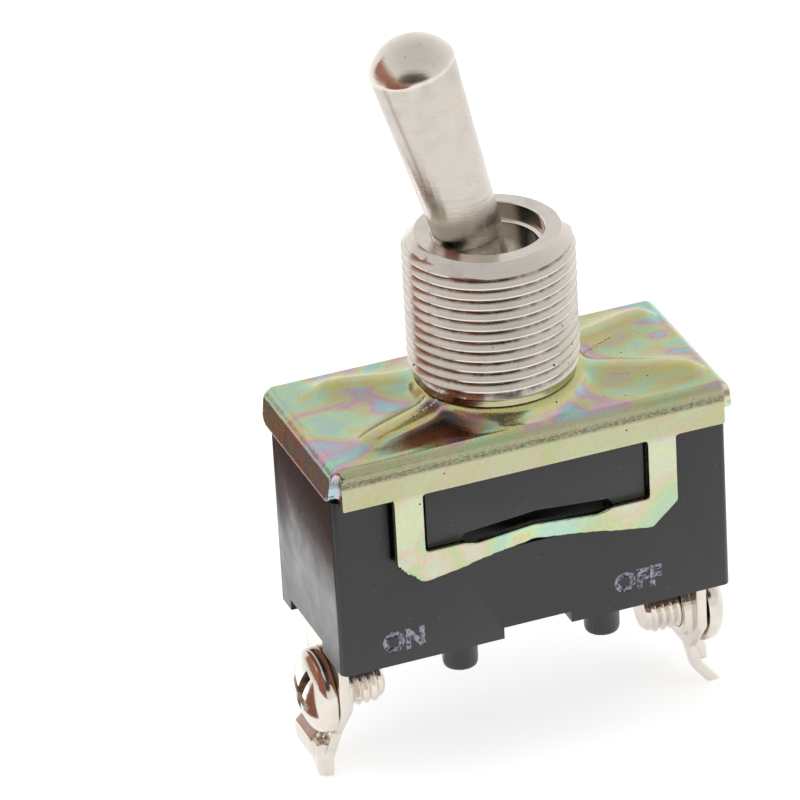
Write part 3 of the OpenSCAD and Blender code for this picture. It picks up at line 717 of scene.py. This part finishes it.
class SWITCH_OT_lever(bpy.types.Operator):
    """Turns the lever: flat-domed handle, neck, ball and drilled stem"""

    bl_idname = "switch.lever"
    bl_label = "Toggle lever"

    def execute(self, context):
        dome_at, dome_h, head_r = 19.4, 1.88, 3.0
        neck_r, stem_r, stem_z = 2.12, 1.85, -10.5
        spring_bore_r, spring_top = 1.23, -1.9
        dome = (head_r * head_r + dome_h * dome_h) / (2 * dome_h)
        rise = math.asin(head_r / dome)
        top = [[dome * math.sin(rise * t), dome_at + dome_h - dome + dome * math.cos(rise * t)]
               for t in (0, 0.12, 0.24, 0.36, 0.48, 0.6, 0.7, 0.8, 0.88, 0.94, 0.975)]
        edge = [[head_r - 0.015, dome_at - 0.01], [head_r - 0.005, dome_at - 0.06]]
        foot = [[2.345, 5.55], [2.30, 5.44], [2.22, 5.40], [neck_r, 5.36]]
        ball = [[BALL_R * math.cos(math.radians(a)), BALL_R * math.sin(math.radians(a))]
                for a in range(48, -56, -6)]
        stem = [[stem_r, -2.66], [stem_r, stem_z + 0.1], [stem_r - 0.1, stem_z],
                [spring_bore_r, stem_z], [spring_bore_r, spring_top], [0, spring_top]]
        lever = turned("lever", top + edge + foot + [[neck_r, 2.42]] + ball + stem, 128)
        hole = turned("pin_hole", [[0, -5], [0.6, -5], [0.6, 5], [0, 5]], 48)
        edit(hole)
        bpy.ops.transform.rotate(value=math.pi / 2, orient_axis="X", center_override=(0, 0, 0))
        leave()
        combine(lever, hole, "DIFFERENCE")
        lever.matrix_world = Matrix.Translation(PIVOT) @ Matrix.Rotation(-LEAN, 4, "Y")
        settle(lever, 30)
        finish = nickel_plate("lever nickel", turn=LEAN, marks=0.6, rough=0.17)
        shaft_painted_darker(finish)
        wear(lever, finish, "nickel_lever", "lever", "toggle_lever")
        return {"FINISHED"}


def shaft_painted_darker(material):
    """The lever's shaft is painted a little darker than its polished dome, and the dome a little
    lighter: painted shade for the shaft's dimmer reflection.
    """
    f = Finish.take(material)
    along = f.add("SPLIT", Vector=f.in_mm(turn=(0, LEAN, 0))).outputs[2]
    was = f.shader.inputs["Base Color"].links[0].from_socket
    # painted shade: the shaft's colour times 0.78, the dome's times 1.06
    f.drive(Base_Color=f.blend(1.0, was, f.span(along, 23.6, 23.9, 0.78, 1.06), "MULTIPLY"))


class SWITCH_OT_cover(bpy.types.Operator):
    """Presses the cover: soft folds and embossing, and a burr where it was sheared"""

    bl_idname = "switch.cover"
    bl_label = "Pressed cover"

    def execute(self, context):
        cover = pressed_copy("cover", "cover_frame", looks().sheet_grain, 3)
        co = points_of(cover)
        soft = neighbour_mean(cover, co, 12)
        sweep = neighbour_mean(cover, co, 90)
        soft[:, 2] = np.maximum(soft[:, 2], sweep[:, 2])
        emboss_h, sheet_reach, half_l, half_w, neck_r = 1.3, 0.9, 13.4, 6.0, 5.3
        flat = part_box("cover_frame")[1].z - emboss_h * MM
        r = np.hypot(co[:, 0], co[:, 1]) / MM
        inside = (np.abs(co[:, 0]) < half_l * MM) & (np.abs(co[:, 1]) < half_w * MM) & (r > neck_r)
        share = (inside & (co[:, 2] > flat - sheet_reach * MM)).astype(float)[:, None]
        share = neighbour_mean(cover, share, 6)
        co = co + (soft - co) * share
        put_points(cover, co + (neighbour_mean(cover, co, 12) - co) * share)
        self.burr(cover)
        mark_hollows(cover, 16, 0.10)
        settle(cover, 60)
        wear(cover, yellow_chromate("yellow chromate"), "yellow_chromate", "housing", "cover_frame")
        return {"FINISHED"}

    def burr(self, cover):
        """Draws a ragged lip out of the sheared corner of the front strap."""
        start, end = np.array((-10.2, -10.32)), np.array((-8.46, -12.04))
        run = (end - start) / np.linalg.norm(end - start)
        out = np.array((run[1], -run[0]))
        co = points_of(cover) / MM
        place = co[:, (0, 2)] - start
        along, across = place @ run, place @ out
        rough = 0.5 + 0.5 * np.sin(5.0 * along) * np.sin(11.0 * along + 1.0)
        face_y, length, width, height = -6.3, 2.4, 0.3, 0.15
        lip = (co[:, 1] < face_y) & (along > 0) & (along < length) & (np.abs(across) < width)
        push = np.where(lip, rough * height * np.clip(1 - np.abs(across) / width, 0, 1), 0)
        co[:, 0] += push * out[0]
        co[:, 2] += push * out[1]
        put_points(cover, co * MM)


class SWITCH_OT_case(bpy.types.Operator):
    """Moulds the case with small rounded edges"""

    bl_idname = "switch.case"
    bl_label = "Moulded case"

    def execute(self, context):
        source = NODES["case_body"]
        case = bpy.data.objects.new("case", source.data.copy())
        case.data.name = "case"
        context.collection.objects.link(case)
        case.data.materials.clear()
        mend(case, 1e-6)
        edit(case)
        bpy.ops.mesh.dissolve_limited(angle_limit=math.radians(0.5))
        leave()
        bevel = case.modifiers.new("edges", "BEVEL")
        bevel.width, bevel.segments, bevel.limit_method = looks().case_edge, 2, "ANGLE"
        bevel.angle_limit = math.radians(40)
        bevel.use_clamp_overlap = True
        only(case)
        bpy.ops.object.modifier_apply(modifier=bevel.name)
        settle(case, 35)
        wear(case, black_moulding("black moulding"), "black_phenolic", "housing", "case_body")
        return {"FINISHED"}


class SWITCH_OT_lettering(bpy.types.Operator):
    """Prints ON and OFF on the front of the case"""

    bl_idname = "switch.lettering"
    bl_label = "Lettering"

    def execute(self, context):
        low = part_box("case_body")[0]
        face = low.y + 0.65 * MM          # the front, behind what stands out of it
        ink_t = 0.004 * MM
        cap_share = 0.69                  # height of a capital as a share of the type size
        ink = pad_print("pad print")
        for word, x, z in (("ON", -11.4, -17.42), ("OFF", 5.8, -17.1)):
            bpy.ops.object.select_all(action="DESELECT")
            bpy.ops.object.text_add(location=(0, 0, 0))
            text = context.object
            text.data.body = word
            text.data.size = looks().text_height / cap_share
            text.data.extrude = ink_t
            text.data.space_character = 1.08
            text.data.offset = 0.10 * MM
            only(text)
            bpy.ops.object.convert(target="MESH")
            text.name = text.data.name = "word_" + word.lower()
            mend(text, 1e-7)
            self.roughen(text)
            text.matrix_world = (Matrix.Translation((x * MM, face - ink_t, z * MM))
                                 @ Matrix.Rotation(math.pi / 2, 4, "X"))
            settle(text, 30)
            wear(text, ink, "black_phenolic", "housing")
        return {"FINISHED"}

    def roughen(self, text):
        """Breaks up the outlines of the letters, as a worn pad leaves them."""
        edit(text)
        bpy.ops.mesh.subdivide(number_cuts=5)
        leave()
        co = points_of(text) / MM
        a = np.sin(co[:, 0] * 31 + np.sin(co[:, 1] * 23) * 2.3)
        b = np.sin(co[:, 1] * 37 + np.sin(co[:, 0] * 19) * 2.1)
        co[:, 0] = co[:, 0] * 0.92 + 0.035 * b
        co[:, 1] += 0.035 * a
        put_points(text, co * MM)


class SWITCH_OT_terminals(bpy.types.Operator):
    """Presses the two terminals, with sheared edges drawn over a little"""

    bl_idname = "switch.terminals"
    bl_label = "Terminals"

    def execute(self, context):
        finish = nickel_plate("terminal nickel", marks=0.15, rough=0.2, warm=1.02)
        for node in ("line_terminal", "load_terminal"):
            added = [self.web()] if node == "line_terminal" else []
            piece = pressed_copy(node.replace("terminal", "plate"), node, 0.11 * MM, 4, added)
            settle(piece, 50)
            wear(piece, finish, "nickel_terminal", "housing", node)
        return {"FINISHED"}

    def web(self):
        """The sheared web that joins the left ear to its prong."""
        web = block("web", (-14.9, -0.9, -28.1), (-14.2, 1.2, -26.8))
        edit(web, "DESELECT")
        shape = bmesh.from_edit_mesh(web.data)
        for v in shape.verts:
            v.select = v.co.y < 0 and v.co.z < -27.5 * MM
        bpy.ops.transform.translate(value=(0, 0, -1.25 * MM))
        leave()
        return web


class SWITCH_OT_screws(bpy.types.Operator):
    """Turns and threads the terminal screws, with a slot and a cross in each head"""

    bl_idname = "switch.screws"
    bl_label = "Terminal screws"

    def execute(self, context):
        finish = nickel_plate("screw nickel", marks=0.1, rough=0.12)
        pitch = looks().screw_pitch / MM
        thread_r, length = 1.7, 4.05
        head_r, edge_h, dome_h = 3.1, 0.55, 1.3
        for node, side, turn in (("line_screw", -1, -27), ("load_screw", 1, 25)):
            low, high = (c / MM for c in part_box(node))
            axis_z = (low.z + high.z) / 2
            seat = high.x - length if side < 0 else low.x + length
            screw = threaded_rod(node + "_turned", thread_r, 0.24, pitch, -length, 0.2, 48)
            trim_radius(screw, [(-length, 1.25), (-3.6, thread_r), (0, thread_r)])
            dome = [[head_r * math.cos(math.radians(a)), edge_h + dome_h * math.sin(math.radians(a))]
                    for a in range(5, 90, 7)]
            head = turned("head", [[0, 0], [2.95, 0], [3.06, 0.06], [head_r, 0.16], [head_r, 0.5],
                                   *dome, [0, edge_h + dome_h]], 96)
            combine(screw, head, "UNION")
            for arm, wide, deep in ((2.85, 0.52, 0.85), (1.75, 0.5, 0.75)):
                combine(screw, recess(arm, wide, deep), "DIFFERENCE")
            screw.matrix_world = (Matrix.Translation((seat * MM, 0, axis_z * MM))
                                  @ Matrix.Rotation(side * math.pi / 2, 4, "Y")
                                  @ Matrix.Rotation(math.radians(turn), 4, "Z"))
            settle(screw, 30)
            wear(screw, finish, "plated_screw", node, node)
        return {"FINISHED"}


def recess(length, wide, deep):
    """A cutter for one arm of a head's recess: its walls lean and its ends run out."""
    cut = block("recess", (-length, -wide, deep), (length, wide, 3))
    edit(cut, "DESELECT")
    shape = bmesh.from_edit_mesh(cut.data)
    for v in shape.verts:
        v.select = v.co.z < 2 * MM
    shape.select_flush(True)
    bpy.ops.transform.resize(value=(0.72, 0.62, 1))
    leave()
    if length < 2:
        edit(cut)
        bpy.ops.transform.rotate(value=math.pi / 2, orient_axis="Z", center_override=(0, 0, 0))
        leave()
    return cut


class SWITCH_OT_inner_parts(bpy.types.Operator):
    """Finishes the mechanism and contacts inside the case"""

    bl_idname = "switch.inner_parts"
    bl_label = "Inner parts"

    def execute(self, context):
        brass = plain_metal("strip brass", (0.72, 0.52, 0.22), 0.3)
        finishes = {
            "lever_pin": plain_metal("pin steel", (0.50, 0.50, 0.51), 0.28),
            "plunger": plain_moulding("white nylon", (0.72, 0.70, 0.60), 0.45, (0.5, 0.46, 0.36)),
            "plunger_spring": plain_metal("spring wire", (0.42, 0.42, 0.43), 0.25, 4.0),
            "insulating_plate": plain_moulding("red fibre", (0.22, 0.06, 0.04), 0.6,
                                               (0.12, 0.04, 0.03)),
            "rocker_blade": plain_metal("copper strip", (0.72, 0.40, 0.27), 0.28),
            "moving_contact": plain_metal("contact silver", (0.80, 0.80, 0.80), 0.3, 3.0),
            "rocker_saddle": brass,
            "saddle_rivet_a": brass, "saddle_rivet_b": brass,
            "line_strap_rivet": brass, "load_strap_rivet": brass,
        }
        finishes["fixed_contact"] = finishes["moving_contact"]
        finishes["rocker_pin"] = finishes["lever_pin"]
        for node, material in finishes.items():
            for slot in NODES[node].material_slots:
                slot.material = material
        return {"FINISHED"}


class SWITCH_OT_stage(bpy.types.Operator):
    """Sets the pale floor and room, the dark, warm and pale cards, the soft lamps and the camera"""

    bl_idname = "switch.stage"
    bl_label = "Stage"

    def execute(self, context):
        scene = context.scene
        scene.view_settings.view_transform = "Standard"
        floor_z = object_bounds()[0].z - 0.2 * MM
        self.lay_floor(floor_z)
        self.light_room(scene)
        self.hang_cards(floor_z)
        self.lamp("key", (-0.16, -0.10, 0.46), 0.50, 0.95)
        self.lamp("fill", (0.38, -0.36, 0.26), 0.40, 0.42)
        self.lamp("back", (0.10, 0.42, 0.30), 0.40, 0.30)
        self.place_camera(scene)
        return {"FINISHED"}

    def lay_floor(self, floor_z):
        """A pale floor that glows only where the camera or a polished face sees it."""
        bpy.ops.object.select_all(action="DESELECT")
        bpy.ops.mesh.primitive_plane_add(size=6, location=(0, 0, floor_z))
        floor = bpy.context.object
        floor.name = "floor"
        floor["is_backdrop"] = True
        f = Finish("pale floor")
        f.drive(Base_Color=(0.86, 0.86, 0.86, 1), Roughness=0.9)
        f.shader.inputs["Specular IOR Level"].default_value = 0.0
        path = f.tree.nodes.new("ShaderNodeLightPath")
        seen = f.maths("MAXIMUM", path.outputs["Is Camera Ray"], path.outputs["Is Glossy Ray"])
        glow = f.tree.nodes.new("ShaderNodeEmission")
        glow.inputs["Strength"].default_value = 0.54
        dark = f.tree.nodes.new("ShaderNodeEmission")
        dark.inputs["Strength"].default_value = 0.0
        pick = f.tree.nodes.new("ShaderNodeMixShader")
        both = f.tree.nodes.new("ShaderNodeAddShader")
        out = next(n for n in f.tree.nodes if n.type == "OUTPUT_MATERIAL")
        link = f.tree.links.new
        link(seen, pick.inputs[0])
        link(dark.outputs[0], pick.inputs[1])
        link(glow.outputs[0], pick.inputs[2])
        link(f.shader.outputs[0], both.inputs[0])
        link(pick.outputs[0], both.inputs[1])
        link(both.outputs[0], out.inputs["Surface"])
        floor.data.materials.append(f.material)

    def light_room(self, scene):
        """A pale room, brighter to the camera and to polished faces than as a light."""
        world = bpy.data.worlds.new("pale room")
        scene.world = world
        world.use_nodes = True
        tree = world.node_tree
        link = tree.links.new
        back = next(n for n in tree.nodes if n.type == "BACKGROUND")
        back.inputs["Color"].default_value = (1, 1, 1, 1)
        path = tree.nodes.new("ShaderNodeLightPath")
        seen = tree.nodes.new("ShaderNodeMath")
        seen.operation = "MAXIMUM"
        more = tree.nodes.new("ShaderNodeMath")
        more.operation = "MAXIMUM"
        level = tree.nodes.new("ShaderNodeMapRange")
        level.inputs["To Min"].default_value = 0.45
        sky = tree.nodes.new("ShaderNodeMapRange")
        for key, value in (("From Min", 0.1), ("From Max", 0.9), ("To Min", 1.0), ("To Max", 0.66)):
            sky.inputs[key].default_value = value
        way = tree.nodes.new("ShaderNodeSeparateXYZ")
        link(tree.nodes.new("ShaderNodeTexCoord").outputs["Generated"], way.inputs[0])
        link(way.outputs[2], sky.inputs["Value"])
        link(sky.outputs[0], level.inputs["To Max"])
        link(path.outputs["Is Camera Ray"], seen.inputs[0])
        link(path.outputs["Is Glossy Ray"], seen.inputs[1])
        link(seen.outputs[0], more.inputs[0])
        link(path.outputs["Is Transmission Ray"], more.inputs[1])
        link(more.outputs[0], level.inputs["Value"])
        link(level.outputs[0], back.inputs["Strength"])

    def hang_cards(self, floor_z):
        """What the polished faces mirror: a place, a size, a colour and a level for each card."""
        lying, standing, skewed = (0, 0, 0), (0, math.pi / 2, 0), (0, 0, math.radians(-20))
        warm = (0.40, 0.17, 0.12)
        self.card("warm_card", (-0.225, 0.060, 0.070), (0.42, 0.125), (0.42, 0.20, 0.14), 0.95)
        self.card("dark_card", (-0.155, -0.309, 0.222), (0.62, 0.215), (0.085, 0.065, 0.06), 0.8,
                  round_card=True)
        self.card("warm_strip", (-0.058, 0.0165, floor_z + 0.002), (0.085, 0.0055),
                  (0.30, 0.13, 0.09), 0.9, skewed)
        self.card("side_card", (-0.0185, 0.0100, -0.0100), (0.0130, 0.028),
                  (0.26, 0.11, 0.08), 0.9, standing)
        self.card("upper_card", (-0.046, -0.022, 0.016), (0.055, 0.036), warm, 0.8)
        self.card("lower_card", (-0.085, -0.045, -0.001), (0.090, 0.040), warm, 0.8)
        self.card("pale_card", (-0.027, 0.026, floor_z + 0.001), (0.014, 0.040),
                  (1.0, 1.0, 1.0), 2.2, lying)

    def place_camera(self, scene):
        """A long lens to the left of the front and above it, tilted a little."""
        azimuth, elevation, roll = (math.radians(a) for a in (-19.614, 28.967, -3.309))
        target, away = Vector((-6.987, 0, -1.662)) * MM, 472.64 * MM
        focal_length, sensor_width = 311.4135, 36
        back_way = Vector((math.sin(azimuth) * math.cos(elevation),
                           -math.cos(azimuth) * math.cos(elevation), math.sin(elevation)))
        right = Vector((0, 0, 1)).cross(back_way).normalized()
        up = back_way.cross(right)
        side = math.cos(roll) * right + math.sin(roll) * up
        top = -math.sin(roll) * right + math.cos(roll) * up
        lens = bpy.data.cameras.new("camera")
        lens.sensor_width = sensor_width
        lens.lens = focal_length
        lens.clip_start, lens.clip_end = 0.05, 10
        camera = bpy.data.objects.new("camera", lens)
        scene.collection.objects.link(camera)
        camera.matrix_world = Matrix.Translation(target + back_way * away) @ Matrix(
            (side, top, back_way)).transposed().to_4x4()
        scene.camera = camera

    def card(self, name, at, size, colour, level, turn=None, round_card=False):
        """A card that only polished faces see, square on to the switch unless it is turned."""
        bpy.ops.object.select_all(action="DESELECT")
        if round_card:
            bpy.ops.mesh.primitive_circle_add(vertices=64, radius=0.5, fill_type="NGON",
                                              location=(0, 0, 0))
        else:
            bpy.ops.mesh.primitive_plane_add(size=1, location=(0, 0, 0))
        card = bpy.context.object
        card.name = name
        turn = Vector(at).to_track_quat("Z", "Y") if turn is None else Euler(turn)
        turn = turn.to_matrix().to_4x4()
        card.matrix_world = Matrix.Translation(at) @ turn @ Matrix.Diagonal((*size, 1, 1))
        for ray in ("camera", "diffuse", "shadow", "transmission"):
            setattr(card, "visible_" + ray, False)
        glow = bpy.data.materials.new(name)
        glow.use_nodes = True
        glow.node_tree.nodes.clear()
        light = glow.node_tree.nodes.new("ShaderNodeEmission")
        light.inputs["Color"].default_value = (*colour, 1)
        light.inputs["Strength"].default_value = level
        out = glow.node_tree.nodes.new("ShaderNodeOutputMaterial")
        glow.node_tree.links.new(light.outputs[0], out.inputs["Surface"])
        card.data.materials.append(glow)
        card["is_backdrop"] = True

    def lamp(self, name, at, size, power):
        """A large square lamp that faces the switch."""
        light = bpy.data.lights.new(name, "AREA")
        light.shape, light.size, light.energy = "SQUARE", size, power
        obj = bpy.data.objects.new(name, light)
        bpy.context.scene.collection.objects.link(obj)
        obj.matrix_world = (Matrix.Translation(at)
                            @ Vector(at).to_track_quat("Z", "Y").to_matrix().to_4x4())
        obj.visible_glossy = False


OPERATORS = (
    SWITCH_OT_bushing, SWITCH_OT_lever, SWITCH_OT_cover, SWITCH_OT_case, SWITCH_OT_lettering,
    SWITCH_OT_terminals, SWITCH_OT_screws, SWITCH_OT_inner_parts, SWITCH_OT_stage,
)


class SWITCH_PT_panel(bpy.types.Panel):
    """Lists the sizes, the colours and the pieces of the switch"""

    bl_idname = "SWITCH_PT_panel"
    bl_label = "Toggle switch"
    bl_space_type = "VIEW_3D"
    bl_region_type = "UI"
    bl_category = "Toggle switch"

    def draw(self, context):
        for key in SwitchLooks.__annotations__:
            self.layout.prop(context.scene.switch_looks, key)
        for operator in OPERATORS:
            self.layout.operator(operator.bl_idname)


def register():
    for cls in (SwitchLooks, *OPERATORS, SWITCH_PT_panel):
        bpy.utils.register_class(cls)
    bpy.types.Scene.switch_looks = bpy.props.PointerProperty(type=SwitchLooks)


def unregister():
    del bpy.types.Scene.switch_looks
    for cls in (SWITCH_PT_panel, *reversed(OPERATORS), SwitchLooks):
        bpy.utils.unregister_class(cls)


def main():
    register()
    bpy.ops.switch.bushing()
    bpy.ops.switch.lever()
    bpy.ops.switch.cover()
    bpy.ops.switch.case()
    bpy.ops.switch.lettering()
    bpy.ops.switch.terminals()
    bpy.ops.switch.screws()
    bpy.ops.switch.inner_parts()
    bpy.ops.switch.stage()


if __name__ == "__main__":
    main()
